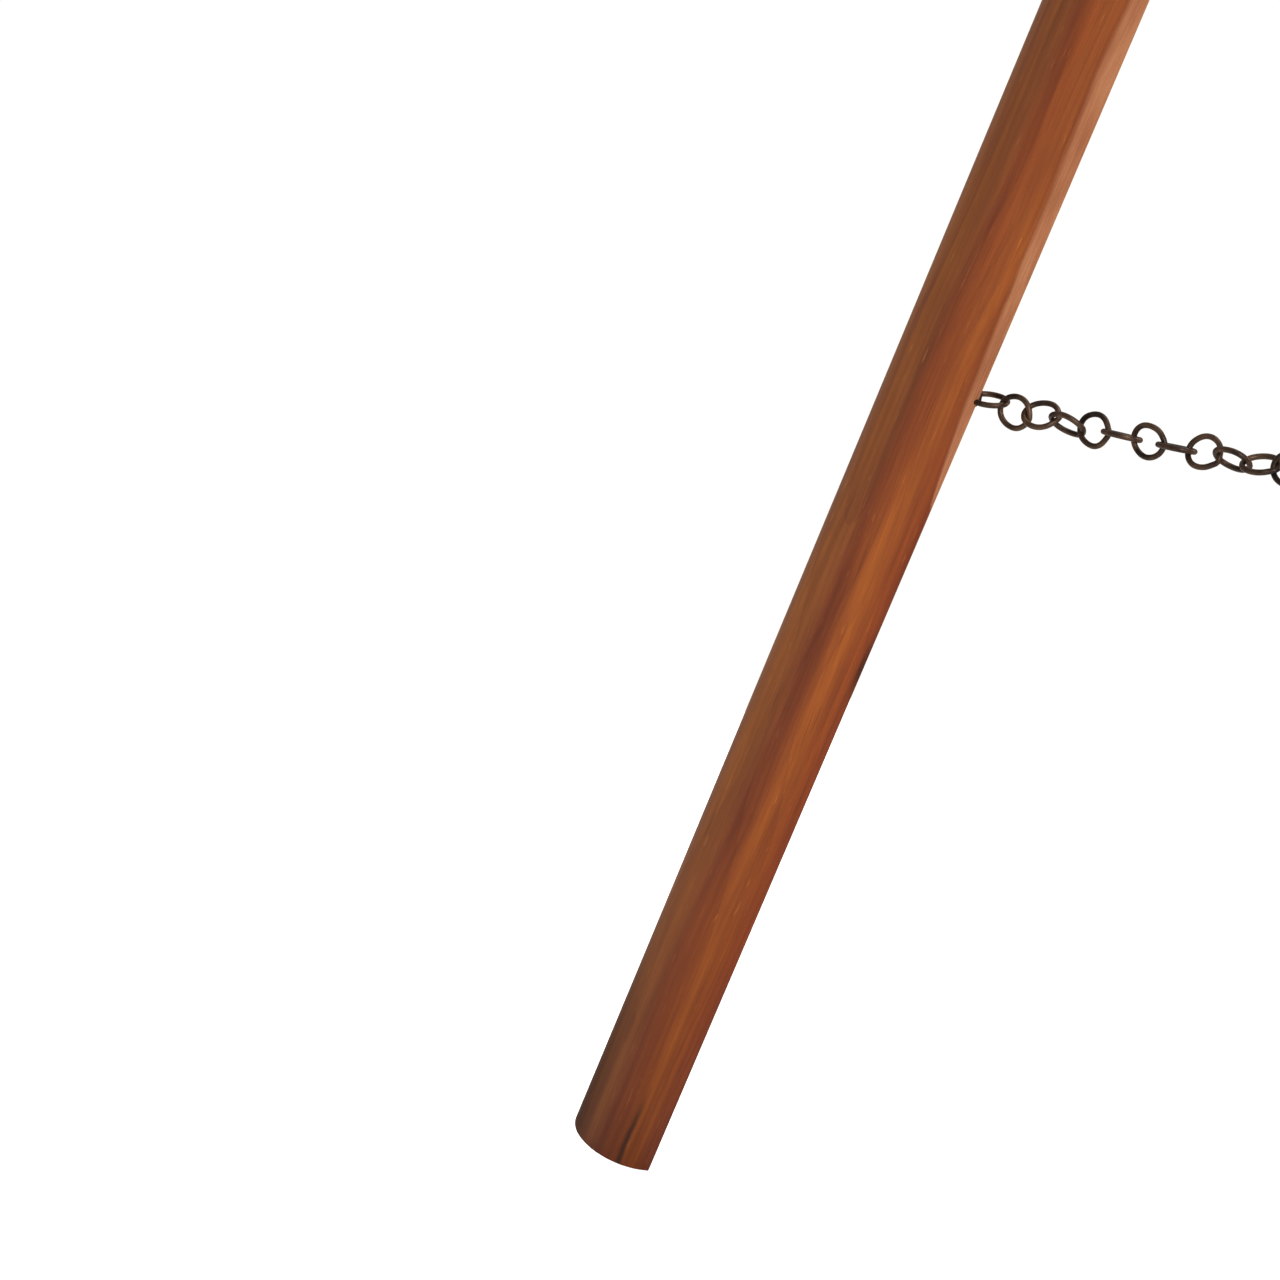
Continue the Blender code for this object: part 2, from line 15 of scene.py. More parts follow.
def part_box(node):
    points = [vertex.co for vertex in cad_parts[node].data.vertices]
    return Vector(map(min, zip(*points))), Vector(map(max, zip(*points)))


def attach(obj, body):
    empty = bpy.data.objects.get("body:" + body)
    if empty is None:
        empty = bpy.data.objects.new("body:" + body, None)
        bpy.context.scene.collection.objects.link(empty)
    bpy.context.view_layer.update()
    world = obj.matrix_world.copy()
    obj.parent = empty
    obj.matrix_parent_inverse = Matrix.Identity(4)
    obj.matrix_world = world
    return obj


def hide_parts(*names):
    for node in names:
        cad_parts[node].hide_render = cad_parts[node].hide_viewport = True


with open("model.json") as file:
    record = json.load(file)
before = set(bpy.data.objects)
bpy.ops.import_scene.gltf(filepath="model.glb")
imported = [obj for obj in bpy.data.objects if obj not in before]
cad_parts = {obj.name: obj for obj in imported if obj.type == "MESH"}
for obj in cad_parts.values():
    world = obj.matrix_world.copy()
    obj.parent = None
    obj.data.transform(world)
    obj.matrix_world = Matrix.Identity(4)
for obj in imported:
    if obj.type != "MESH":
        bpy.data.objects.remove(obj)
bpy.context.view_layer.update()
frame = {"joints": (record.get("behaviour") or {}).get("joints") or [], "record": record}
JOINTS = {joint["name"]: joint for joint in frame["joints"]}
MOUNTS = {mount["name"]: mount for mount in frame["record"]["mounts"]}
SIDES = (("left", -1), ("right", 1))

# The stand, worked out from the frame.
FRAME_HALF = JOINTS["fold_right"]["pos_m"][0]
PIVOT_Z = JOINTS["fold_right"]["pos_m"][2]
SLANT = math.asin(MOUNTS["back_foot_left"]["axis"][1])
FOOT = Vector(MOUNTS["back_foot_left"]["pos_m"])
LEG_LENGTH = math.hypot(FOOT.y, PIVOT_Z - FOOT.z)
LOG_HALF_WIDTH = FOOT.z / math.sin(SLANT)
LOG_DEPTH = (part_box("back_leg_left")[1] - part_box("back_leg_left")[0]).x
LOG_RADIUS = (LOG_HALF_WIDTH**2 + LOG_DEPTH**2) / (2 * LOG_DEPTH)
LOG_CUT = LOG_RADIUS - LOG_DEPTH
LEG_TOP = (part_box("back_leg_left")[1].z - PIVOT_Z - LOG_HALF_WIDTH * math.sin(SLANT)) / math.cos(SLANT)
LEG_CLEARANCE = 0.001
BACK_SLANT = math.radians(14.0)

# Camera.
CAMERA_PLACE = Vector((-3.7240, -1.3477, 0.7735))
CAMERA_YAW = 50.11
CAMERA_PITCH = 4.60
CAMERA_LENS = 109.07
SENSOR = 36.0

# Light: the surroundings are white to look at and dim to light with, as in a studio with flagged walls.
WORLD_SEEN = 1.05
WORLD_LIGHT = 0.40
FLOOR_GLOW = 0.76
FLOOR_SIZE = 7.0

# The planed strip on the edge of each leg.
FACET_START = 0.690  # from the foot
FACET_GROWTH = 0.00095  # width squared gained per metre
FACET_LEAST = 0.0004
FACET_WIDEST = 1.060  # from the foot
EDGE_ROUND = 0.0007
FRONT_SHADE_UP = 0.536  # painted shade: a dark band on the front edge, from the foot
FRONT_SHADE_LENGTH = 0.026
# Dark drying check in each foot, as a share of the way round.
CHECK_PLACES = {
    "back_leg_left": 0.745,
    "back_leg_right": 0.42,
    "front_leg_left": 0.30,
    "front_leg_right": 0.61,
}

# The shape of a leg.
END_ROUND = 0.0022  # length of the rounded edge at each end
END_INSET = 0.0011  # how far the outline draws in there
LOG_WOBBLE = 0.00022  # unevenness of the round side
PLAIN_EDGE = 0.012  # radians left at the plain arris
CREASE_WIDTH = 0.0011  # soft inner border of the strip

# Ring chain.
LINK_PITCH = 0.0269
LINK_WIRE = 0.0025
LINK_HALF_LENGTH = LINK_PITCH / 2 + LINK_WIRE
LINK_HALF_WIDTH = 0.01345
SPREADER_SAG = 0.069

# Gaps from the centre of an eye or a ring to the end of the chain on it.
SPREADER_TRIM = 0.0105
HANGER_TRIM = 0.0110
RING_TRIM = 0.0170
SEAT_EYE_TRIM = 0.0090

# Eyes and joining rings: radii of their wire's centre line, and of the wire.
EYE_WIRE = 0.0024
LEG_EYE_RADIUS = 0.008
LEG_EYE_REACH = 0.031
SEAT_EYE_RADIUS = 0.011
THICK_WIRE = 0.0035  # of the hanger eyes and the joining rings
HANGER_RADIUS = 0.014
RING_RADIUS = 0.020

EASE = 0.0035  # rounded edge of a bench board
ARMREST_EASE = 0.0065
SCREW_SUNK = 0.0003  # how far a screw head's seat lies under the wood


# ---------------------------------------------------------------- materials


class Nodes:
    """A short way to write a node tree."""

    def __init__(self, name):
        self.material = bpy.data.materials.new(name)
        self.material.use_nodes = True
        self.tree = self.material.node_tree
        self.shader = self.tree.nodes["Principled BSDF"]

    def add(self, kind, **values):
        made = self.tree.nodes.new("ShaderNode" + kind)
        for key, value in values.items():
            setattr(made, key, value)
        return made

    def link(self, output, target):
        self.tree.links.new(output, target)

    def math(self, operation, first, second=None, third=None, clamp=False):
        node = self.add("Math", operation=operation, use_clamp=clamp)
        for socket, value in zip(node.inputs, (first, second, third)):
            if value is None:
                continue
            if isinstance(value, (int, float)):
                socket.default_value = value
            else:
                self.link(value, socket)
        return node.outputs[0]

    def square(self, value, offset):
        return self.math("POWER", self.math("ABSOLUTE", self.math("ADD", value, offset)), 2.0)

    def band(self, value, inner, outer):
        """1 where the value is within inner of zero, fading to 0 at outer."""
        node = self.add("MapRange", interpolation_type="SMOOTHSTEP")
        for name, number in (("From Min", inner), ("From Max", outer), ("To Min", 1.0), ("To Max", 0.0)):
            node.inputs[name].default_value = number
        self.link(self.math("ABSOLUTE", value), node.inputs["Value"])
        return node.outputs["Result"]

    def noise(self, vector, scale, detail=3.0, rough=0.55):
        node = self.add("TexNoise")
        node.inputs["Scale"].default_value = scale
        node.inputs["Detail"].default_value = detail
        node.inputs["Roughness"].default_value = rough
        self.link(vector, node.inputs["Vector"])
        return node.outputs["Fac"]

    def stretched(self, vector, scale):
        node = self.add("Mapping")
        node.inputs["Scale"].default_value = scale
        self.link(vector, node.inputs["Vector"])
        return node.outputs["Vector"]

    def ramp(self, factor, stops, interpolation="LINEAR"):
        node = self.add("ValToRGB")
        ramp = node.color_ramp
        ramp.interpolation = interpolation
        while len(ramp.elements) < len(stops):
            ramp.elements.new(0.5)
        for element, (place, color) in zip(ramp.elements, stops):
            element.position = place
            element.color = (*color, 1.0)
        self.link(factor, node.inputs["Fac"])
        return node.outputs["Color"]

    def mix(self, factor, first, second, kind="MIX"):
        node = self.add("Mix", data_type="RGBA", blend_type=kind)
        for socket, value in ((node.inputs[0], factor), (node.inputs[6], first), (node.inputs[7], second)):
            if isinstance(value, (int, float)):
                socket.default_value = value
            elif isinstance(value, tuple):
                socket.default_value = (*value, 1.0)
            else:
                self.link(value, socket)
        return node.outputs[2]

    def bump(self, height, strength, distance, before=None):
        node = self.add("Bump")
        node.inputs["Strength"].default_value = strength
        node.inputs["Distance"].default_value = distance
        self.link(height, node.inputs["Height"])
        if before is not None:
            self.link(before, node.inputs["Normal"])
        return node.outputs["Normal"]


def srgb(red, green, blue):
    """A linear colour from 0-255 display values."""

    def linear(value):
        value /= 255
        return value / 12.92 if value <= 0.04045 else ((value + 0.055) / 1.055) ** 2.4

    return (linear(red), linear(green), linear(blue))


WOOD_STOPS = (
    (0.00, srgb(80, 34, 18)),
    (0.30, srgb(109, 50, 23)),
    (0.50, srgb(131, 66, 27)),
    (0.72, srgb(158, 84, 34)),
    (1.00, srgb(194, 116, 58)),
)

BARE_STOPS = (
    (0.25, srgb(148, 90, 58)),
    (0.55, srgb(170, 108, 73)),
    (0.80, srgb(184, 126, 88)),
)
# Bands across a leg, from its rear edge to its front one, and up from its foot: the wood's stain, with a
# painted sheen on the rear side and painted light on the front, and a darkening towards the foot that is
# partly dirt and partly painted shade.
LEG_STAIN_AND_LIGHT = (
    # brown rear side with a painted olive sheen
    (0.20, (1.15, 1.40, 1.00)),  # brown rear side
    (0.40, (0.95, 1.15, 1.40)),
    (0.50, (0.75, 0.85, 1.25)),
    (0.57, (0.65, 0.60, 1.00)),  # dark red-brown band
    (0.66, (0.95, 0.88, 0.98)),
    # orange front: partly the wood's stain, partly painted light from the front
    (0.79, (1.35, 1.38, 0.92)),  # orange front
    (0.90, (1.05, 0.88, 0.62)),
    (1.00, (0.90, 0.62, 0.47)),  # front edge
)
# Darker towards the foot: partly dirt, partly painted shade.
FOOT_DIRT_AND_SHADE = (
    (0.00, (0.60, 0.58, 0.62)),
    (0.08, (0.76, 0.74, 0.74)),
    (0.25, (0.90, 0.88, 0.86)),
    (0.55, (1.00, 1.00, 1.00)),
)

DRIFT = 0.028  # how far the grain wanders sideways


def wood(name, contrast, leg=False):
    """Stained and varnished softwood with its grain along the object's Z."""
    n = Nodes(name)
    place = n.add("TexCoord").outputs["Object"]
    parts = n.add("SeparateXYZ")
    n.link(place, parts.inputs[0])
    drift_x = n.noise(n.stretched(place, (5, 5, 1.5)), 1.0, 2.0)
    drift_y = n.noise(n.stretched(place, (7, 7, 1.9)), 1.0, 2.0)
    across_x = n.math("MULTIPLY_ADD", drift_x, DRIFT, parts.outputs["X"])
    across_y = n.math("MULTIPLY_ADD", drift_y, DRIFT, parts.outputs["Y"])
    joined = n.add("CombineXYZ")
    n.link(across_x, joined.inputs[0])
    n.link(across_y, joined.inputs[1])
    n.link(parts.outputs["Z"], joined.inputs[2])
    flow = joined.outputs[0]
    radius = n.math("SQRT", n.math("ADD", n.square(across_x, -DRIFT / 2), n.square(across_y, -DRIFT / 2)))
    ring_wave = n.math("FRACT", n.math("MULTIPLY", radius, 240.0))
    late_wood = n.math("POWER", ring_wave, 4.0)
    facing = n.add("SeparateXYZ")
    n.link(n.add("TexCoord").outputs["Normal"], facing.inputs[0])
    end_grain = n.math("GREATER_THAN", n.math("ABSOLUTE", facing.outputs["Z"]), 0.85)
    broad = n.noise(n.stretched(flow, (30, 30, 1.1)), 1.0, 2.0)
    mottle = n.noise(n.stretched(flow, (38, 38, 9)), 1.0, 3.0, 0.6)
    streak = n.noise(n.stretched(flow, (120, 120, 3.0)), 1.0, 4.0, 0.6)
    fibre = n.noise(n.stretched(flow, (900, 900, 16)), 1.0, 3.0, 0.6)
    tone = n.math("MULTIPLY_ADD", n.math("SUBTRACT", broad, 0.5), 0.60 * contrast, 0.50)
    for layer, weight in ((mottle, 0.30), (streak, 0.62), (fibre, 0.30)):
        tone = n.math("MULTIPLY_ADD", n.math("SUBTRACT", layer, 0.5), weight * contrast, tone)
    tone = n.math("MULTIPLY_ADD", late_wood, -0.08, tone)
    color = n.ramp(tone, WOOD_STOPS)
    dark = n.noise(n.stretched(flow, (75, 75, 2.2)), 1.0, 3.0, 0.6)
    dark_mask = n.math("MULTIPLY", n.math("SUBTRACT", dark, 0.60, clamp=True), 5.0, clamp=True)
    color = n.mix(n.math("MULTIPLY", dark_mask, 0.60 * contrast), color, srgb(64, 28, 16))
    line = n.noise(n.stretched(flow, (420, 420, 9)), 1.0, 2.0)
    line_mask = n.math("MULTIPLY", n.math("SUBTRACT", line, 0.66, clamp=True), 8.0, clamp=True)
    color = n.mix(n.math("MULTIPLY", line_mask, 0.55), color, srgb(78, 32, 16))
    fleck = n.noise(n.stretched(flow, (520, 520, 36)), 1.0, 1.0)
    fleck_mask = n.math("MULTIPLY", n.math("SUBTRACT", fleck, 0.71, clamp=True), 10.0, clamp=True)
    color = n.mix(n.math("MULTIPLY", fleck_mask, 0.35), color, srgb(212, 134, 66))
    cut = n.ramp(ring_wave, ((0.0, srgb(112, 62, 34)), (0.7, srgb(92, 46, 24)), (1.0, srgb(52, 25, 14))))
    color = n.mix(n.math("MULTIPLY", end_grain, 0.85), color, cut)
    rough = n.math("MULTIPLY_ADD", streak, 0.16, 0.38)
    rough = n.math("MULTIPLY_ADD", end_grain, 0.25, rough)
    if not leg:
        tone_shift = n.add("Attribute", attribute_name="board_tone").outputs["Fac"]
        shade = n.ramp(tone_shift, ((0.0, (0.86, 0.84, 0.84)), (1.0, (1.16, 1.18, 1.16))))
        color = n.mix(1.0, color, shade, "MULTIPLY")
    if leg:
        around = n.add("Attribute", attribute_name="around").outputs["Fac"]
        wave = n.noise(n.stretched(place, (9, 9, 2.2)), 1.0, 3.0, 0.6)
        around_wavy = n.math("MULTIPLY_ADD", n.math("SUBTRACT", wave, 0.5), 0.15, around)
        # Stain bands across the leg, with a painted olive sheen on the rear side and painted light on the
        # front.
        color = n.mix(1.0, color, n.ramp(around_wavy, LEG_STAIN_AND_LIGHT), "MULTIPLY")
        # Darker towards the foot: partly dirt, partly painted shade.
        above_foot = n.math("ADD", parts.outputs["Z"], LEG_LENGTH)
        uneven = n.math("MULTIPLY_ADD", n.math("SUBTRACT", streak, 0.5), 0.16, above_foot)
        color = n.mix(1.0, color, n.ramp(uneven, FOOT_DIRT_AND_SHADE), "MULTIPLY")
        # Painted shade: darkens the rear side near the foot, a band of the front edge and the bottom edge of
        # the foot; it also roughens the varnish there.
        painted_shade = n.add("Attribute", attribute_name="painted_shade").outputs["Fac"]
        color = n.mix(n.math("MULTIPLY", painted_shade, 0.75), color, srgb(44, 24, 18))
        waver = n.noise(n.stretched(place, (4, 4, 28)), 1.0, 2.0)
        aside = n.math("SUBTRACT", around, n.add("Attribute", attribute_name="check").outputs["Fac"])
        aside = n.math("MULTIPLY_ADD", n.math("SUBTRACT", waver, 0.5), 0.05, aside)
        check = n.math("MULTIPLY", n.band(aside, 0.002, 0.034), n.band(above_foot, 0.034, 0.095))
        color = n.mix(n.math("MULTIPLY", check, 0.80), color, srgb(40, 22, 16))
        facet = n.add("Attribute", attribute_name="facet").outputs["Fac"]
        bare_tone = n.math("MULTIPLY_ADD", n.math("SUBTRACT", fibre, 0.5), 0.8, mottle)
        color = n.mix(facet, color, n.ramp(bare_tone, BARE_STOPS))
        crease = n.add("Attribute", attribute_name="facet_line").outputs["Fac"]
        color = n.mix(n.math("MULTIPLY", crease, 0.22), color, srgb(84, 38, 20))
        rough = n.math("MULTIPLY_ADD", facet, 0.22, rough)
        rough = n.math("MULTIPLY_ADD", painted_shade, 0.35, rough)
    n.link(color, n.shader.inputs["Base Color"])
    n.link(rough, n.shader.inputs["Roughness"])
    n.shader.inputs["Specular IOR Level"].default_value = 0.24 if leg else 0.16
    height = n.math("MULTIPLY_ADD", fibre, 0.5, streak)
    fine = n.bump(height, 0.35, 0.0004)
    rings = n.bump(late_wood, 0.15, 0.0003, fine)
    n.link(rings, n.shader.inputs["Normal"])
    return n.material


def bronze(name, dark, light, roughness):
    """Dark antique bronze, browner where it has rubbed."""
    n = Nodes(name)
    place = n.add("TexCoord").outputs["Object"]
    patch = n.noise(place, 60.0, 3.0, 0.5)
    grain = n.noise(place, 700.0, 3.0, 0.6)
    mask = n.math("MULTIPLY_ADD", n.math("SUBTRACT", patch, 0.50), 2.4, 0.35, clamp=True)
    mask = n.math("MULTIPLY_ADD", n.math("SUBTRACT", grain, 0.5), 0.06, mask, clamp=True)
    color = n.mix(mask, dark, light)
    n.link(color, n.shader.inputs["Base Color"])
    n.shader.inputs["Metallic"].default_value = 0.75
    n.link(n.math("MULTIPLY_ADD", patch, 0.25, roughness - 0.12), n.shader.inputs["Roughness"])
    n.link(n.bump(patch, 0.15, 0.0004), n.shader.inputs["Normal"])
    return n.material


# ---------------------------------------------------------------- mesh helpers


def seed_of(name):
    """A steady number for a name."""
    total = 7
    for letter in name:
        total = (total * 31 + ord(letter)) % 100003
    return total


def rings_mesh(name, rings):
    """Quads between closed rings of points along the piece, and a fan of triangles at each end."""
    mesh = bpy.data.meshes.new(name)
    count = len(rings[0])
    points = [point for ring in rings for point in ring]
    faces = []
    for row in range(len(rings) - 1):
        low, high = row * count, (row + 1) * count
        for k in range(count):
            after = (k + 1) % count
            faces.append((low + k, low + after, high + after, high + k))
    for row, flip in ((0, True), (len(rings) - 1, False)):
        middle = len(points)
        ring = rings[row]
        points.append(sum(ring, Vector()) / count)
        base = row * count
        for k in range(count):
            after = (k + 1) % count
            corner = (base + k, base + after, middle)
            faces.append(tuple(reversed(corner)) if flip else corner)
    mesh.from_pydata(points, [], faces)
    mesh.validate()
    return mesh


def face_out(mesh):
    shape = bmesh.new()
    shape.from_mesh(mesh)
    bmesh.ops.recalc_face_normals(shape, faces=shape.faces)
    shape.to_mesh(mesh)
    shape.free()


def finish_piece(name, mesh, material, body, nodes, matrix=None, sharp=30):
    """Puts a mesh in place of CAD nodes, on the body that they ride on."""
    face_out(mesh)
    mesh.shade_smooth()
    mesh.set_sharp_from_angle(angle=math.radians(sharp))
    mesh.materials.append(material)
    piece = bpy.data.objects.new(name, mesh)
    bpy.context.collection.objects.link(piece)
    if matrix is not None:
        piece.matrix_world = matrix
    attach(piece, body)
    if nodes:
        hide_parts(*nodes)
    return piece


def body_of(node):
    for body, nodes in frame["record"]["behaviour"]["bodies"].items():
        if node in nodes:
            return body
    raise KeyError(node)


# ---------------------------------------------------------------- wooden pieces


LEG_ROWS = 210
ARC_STEPS = 72
STRIP_STEPS = 8
FLAT_STEPS = 14
CREASE_COLUMN = ARC_STEPS
STRIP_COLUMN = CREASE_COLUMN + 1
FLAT_COLUMN = STRIP_COLUMN + STRIP_STEPS


def leg_rows(length):
    """Stations from the foot up, close together at both ends, where the edges are rounded."""
    edge = [0.0, 0.0003, 0.0007, 0.0013, END_ROUND]
    inner = [END_ROUND + (length - 2 * END_ROUND) * k / LEG_ROWS for k in range(1, LEG_ROWS)]
    return edge + inner + [length - value for value in reversed(edge)]


def smooth_step(low, high, value):
    share = min(1.0, max(0.0, (value - low) / (high - low)))
    return share * share * (3 - 2 * share)


def facet_width(up, seed):
    """Width of the planed strip at a height above the foot; its inner edge wavers and jogs a little."""
    if up <= FACET_START:
        return FACET_LEAST
    ripple = 0.13 * noise.noise((up * 7.0, seed, 0.3)) + 0.07 * noise.noise((up * 26.0, seed, 4.1))
    narrowing = 1 - 0.30 * smooth_step(FACET_WIDEST, FACET_WIDEST + 0.20, up)
    return FACET_LEAST + math.sqrt(FACET_GROWTH * (up - FACET_START)) * (narrowing + ripple)


def leg_profile(up, outward, facet_side, seed, inset):
    """The closed outline of a half log at one station, and which of its edges lie on the strip.

    It runs along the round from the plain arris to the strip, over the strip, and back on the flat.
    """
    half_angle = math.acos(LOG_CUT / LOG_RADIUS)
    width = facet_width(up, seed)
    strip = 2 * math.asin(width / (2 * LOG_RADIUS))
    border = min(strip, CREASE_WIDTH / LOG_RADIUS)
    sweep = 2 * half_angle - strip - border - PLAIN_EDGE
    angles = [half_angle - PLAIN_EDGE - sweep * k / ARC_STEPS for k in range(ARC_STEPS + 1)]
    angles.append(-half_angle + strip)

    def at(angle):
        wobble = LOG_WOBBLE * noise.noise((up * 2.3, angle * 1.7, seed))
        reach = LOG_RADIUS - inset + wobble - LOG_WOBBLE
        return Vector((reach * math.cos(angle) - LOG_CUT, reach * math.sin(angle)))

    points = [at(angle) for angle in angles]
    arris = Vector((inset, -LOG_HALF_WIDTH + inset + EDGE_ROUND))
    crease = points[-1]
    strip_end = Vector((inset + EDGE_ROUND * 0.6, arris.y - EDGE_ROUND * 0.6))
    for k in range(1, STRIP_STEPS + 1):
        points.append(crease.lerp(strip_end, k / STRIP_STEPS))
    far = Vector((inset, LOG_HALF_WIDTH - inset - EDGE_ROUND))
    for k in range(FLAT_STEPS + 1):
        points.append(arris.lerp(far, k / FLAT_STEPS))
    return [Vector((outward * point.x, facet_side * point.y, 0.0)) for point in points]


def make_leg(word, side, front, material):
    """One half-log leg. The strip is on its front edge behind and on its rear edge in front."""
    node = ("front" if front else "back") + "_leg_" + word
    seed = seed_of(node) % 97
    outward = -side if front else side
    facet_side = -1 if front else 1
    length = LEG_LENGTH + LEG_TOP
    rings = []
    for up in leg_rows(length):
        near = min(up, length - up)
        inset = 0.0
        if near <= END_ROUND:
            inset = END_INSET * (1 - math.sqrt(max(0.0, 1 - (1 - near / END_ROUND) ** 2)))
        ring = leg_profile(up, outward, facet_side, seed, inset)
        rings.append([point + Vector((0, 0, up - LEG_LENGTH)) for point in ring])
    mesh = rings_mesh(node, rings)
    count = len(rings[0])
    half_angle = math.acos(LOG_CUT / LOG_RADIUS)
    names = ("around", "painted_shade", "check", "facet", "facet_line")
    for name in names:
        mesh.attributes.new(name, "FLOAT", "POINT")
    around, painted_shade, check, facet, line = (mesh.attributes[name] for name in names)
    check_place = CHECK_PLACES[node]
    for vertex in mesh.vertices:
        angle = math.atan2(facet_side * vertex.co.y, outward * vertex.co.x + LOG_CUT)
        place = 0.5 - 0.5 * angle / half_angle
        if vertex.index % count >= FLAT_COLUMN and vertex.index < count * len(rings):
            place = 0.66 + 0.08 * vertex.co.y / LOG_HALF_WIDTH
        up = vertex.co.z + LEG_LENGTH
        around.data[vertex.index].value = place
        # Painted shade on the rear side near the foot, where the round turns away from the light.
        rear_shade = 0.95 * (1 - smooth_step(0.24, 0.50, place)) * (1 - smooth_step(0.03, 0.30, up))
        # Painted shade: a dark band across the front edge.
        front_shade = math.exp(-(((up - FRONT_SHADE_UP) / FRONT_SHADE_LENGTH) ** 2)) * smooth_step(0.940, 0.962, place)
        # Painted shade along the bottom edge of the foot's rear half.
        sole = 0.45 * (1 - smooth_step(0.0, 0.006, up)) * (1 - smooth_step(0.35, 0.75, place))
        painted_shade.data[vertex.index].value = min(1.0, max(rear_shade, front_shade, sole))
        check.data[vertex.index].value = check_place
        column = vertex.index % count
        if vertex.index < count * len(rings) and CREASE_COLUMN < column <= FLAT_COLUMN:
            shown = smooth_step(0.0008, 0.0030, facet_width(up, seed))
            facet.data[vertex.index].value = shown * min(1.0, 0.35 + 0.65 * (column - STRIP_COLUMN) / 2)
            line.data[vertex.index].value = shown if column == STRIP_COLUMN else 0.0
    x = side * (FRAME_HALF - (LEG_CLEARANCE if front else 0.0))
    turn = Matrix.Rotation(-SLANT if front else SLANT, 4, "X")
    matrix = Matrix.Translation((x, 0, PIVOT_Z)) @ turn
    return finish_piece(node + "_log", mesh, material, body_of(node), [node], matrix, 9)


def set_tone(mesh, value):
    """How light the stain of a board came out, from 0 to 1."""
    tone = mesh.attributes.new("board_tone", "FLOAT", "POINT")
    for item in tone.data:
        item.value = value


def board_profile(width, depth, ease, steps=4):
    """A rectangle with rounded corners, centred on the origin."""
    corners = ((1, 1, 0), (-1, 1, 90), (-1, -1, 180), (1, -1, 270))
    points = []
    for x, y, start in corners:
        centre = Vector((x * (width / 2 - ease), y * (depth / 2 - ease)))
        for k in range(steps + 1):
            angle = math.radians(start + 90 * k / steps)
            points.append(centre + ease * Vector((math.cos(angle), math.sin(angle))))
    return points


def make_board(node, width, depth, length, matrix, material, ease=EASE):
    """A planed board with its length along its own Z, eased along every edge and slightly uneven."""
    seed = seed_of(node) % 89
    shift = Vector((0.030 * ((seed % 5) - 2), 0.055 + 0.004 * (seed % 7), 0.37 * (seed % 11)))
    rings = []
    ends = [(0.0, ease), (0.12 * ease, 0.52 * ease), (0.35 * ease, 0.22 * ease), (ease, 0.0)]
    stations = ends + [(ease + (length - 2 * ease) * k / 40, 0.0) for k in range(1, 40)]
    stations += [(length - along, inset) for along, inset in reversed(ends)]
    for along, inset in stations:
        ring = []
        for point in board_profile(width - 2 * inset, depth - 2 * inset, max(ease - inset, 0.2 * ease)):
            sway = noise.noise((along * 3.1, point.x * 14, seed)) * 0.0003
            inward = -point.normalized() * (0.0003 + sway)
            ring.append(Vector((point.x + inward.x, point.y + inward.y, along - length / 2)) + shift)
        rings.append(ring)
    mesh = rings_mesh(node, rings)
    set_tone(mesh, (seed % 13) / 12)
    place = matrix @ Matrix.Translation(-shift)
    return finish_piece(node + "_board", mesh, material, body_of(node), [node], place, 40)


def box_of(node):
    low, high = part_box(node)
    return (low + high) / 2, high - low


ALONG_X = Matrix.Rotation(math.pi / 2, 4, "Y")
ALONG_Y = Matrix.Rotation(-math.pi / 2, 4, "X")


def make_straight_boards(material):
    """The boards that lie along a main axis: each takes its size and place from its CAD node."""
    lengthwise = [f"seat_slat_{k}" for k in range(1, 6)] + ["front_rail", "rear_rail"]
    for node in lengthwise:
        centre, size = box_of(node)
        make_board(node, size.z, size.y, size.x, Matrix.Translation(centre) @ ALONG_X, material)
    for node in ("seat_side_left", "seat_side_right", "middle_bearer", "armrest_left", "armrest_right"):
        centre, size = box_of(node)
        ease = ARMREST_EASE if node.startswith("armrest") else EASE
        make_board(node, size.x, size.z, size.y, Matrix.Translation(centre) @ ALONG_Y, material, ease=ease)
    for node in ("arm_post_left", "arm_post_right"):
        centre, size = box_of(node)
        make_board(node, size.x, size.y, size.z, Matrix.Translation(centre), material)


def unleaned(height, depth):
    """The board's own length and thickness from the height and depth of its leaning box."""
    c, s = math.cos(BACK_SLANT), math.sin(BACK_SLANT)
    return (height * c - depth * s) / (c * c - s * s), (depth * c - height * s) / (c * c - s * s)


def make_leaning_boards(material):
    lean = Matrix.Rotation(-BACK_SLANT, 4, "X")
    for node in ("back_post_left", "back_post_right"):
        centre, size = box_of(node)
        length, depth = unleaned(size.z, size.y)
        make_board(node, size.x, depth, length, Matrix.Translation(centre) @ lean, material)
    for k in range(1, 5):
        node = f"back_slat_{k}"
        centre, size = box_of(node)
        height, depth = unleaned(size.z, size.y)
        place = Matrix.Translation(centre) @ lean @ ALONG_X
        make_board(node, height, depth, size.x, place, material)


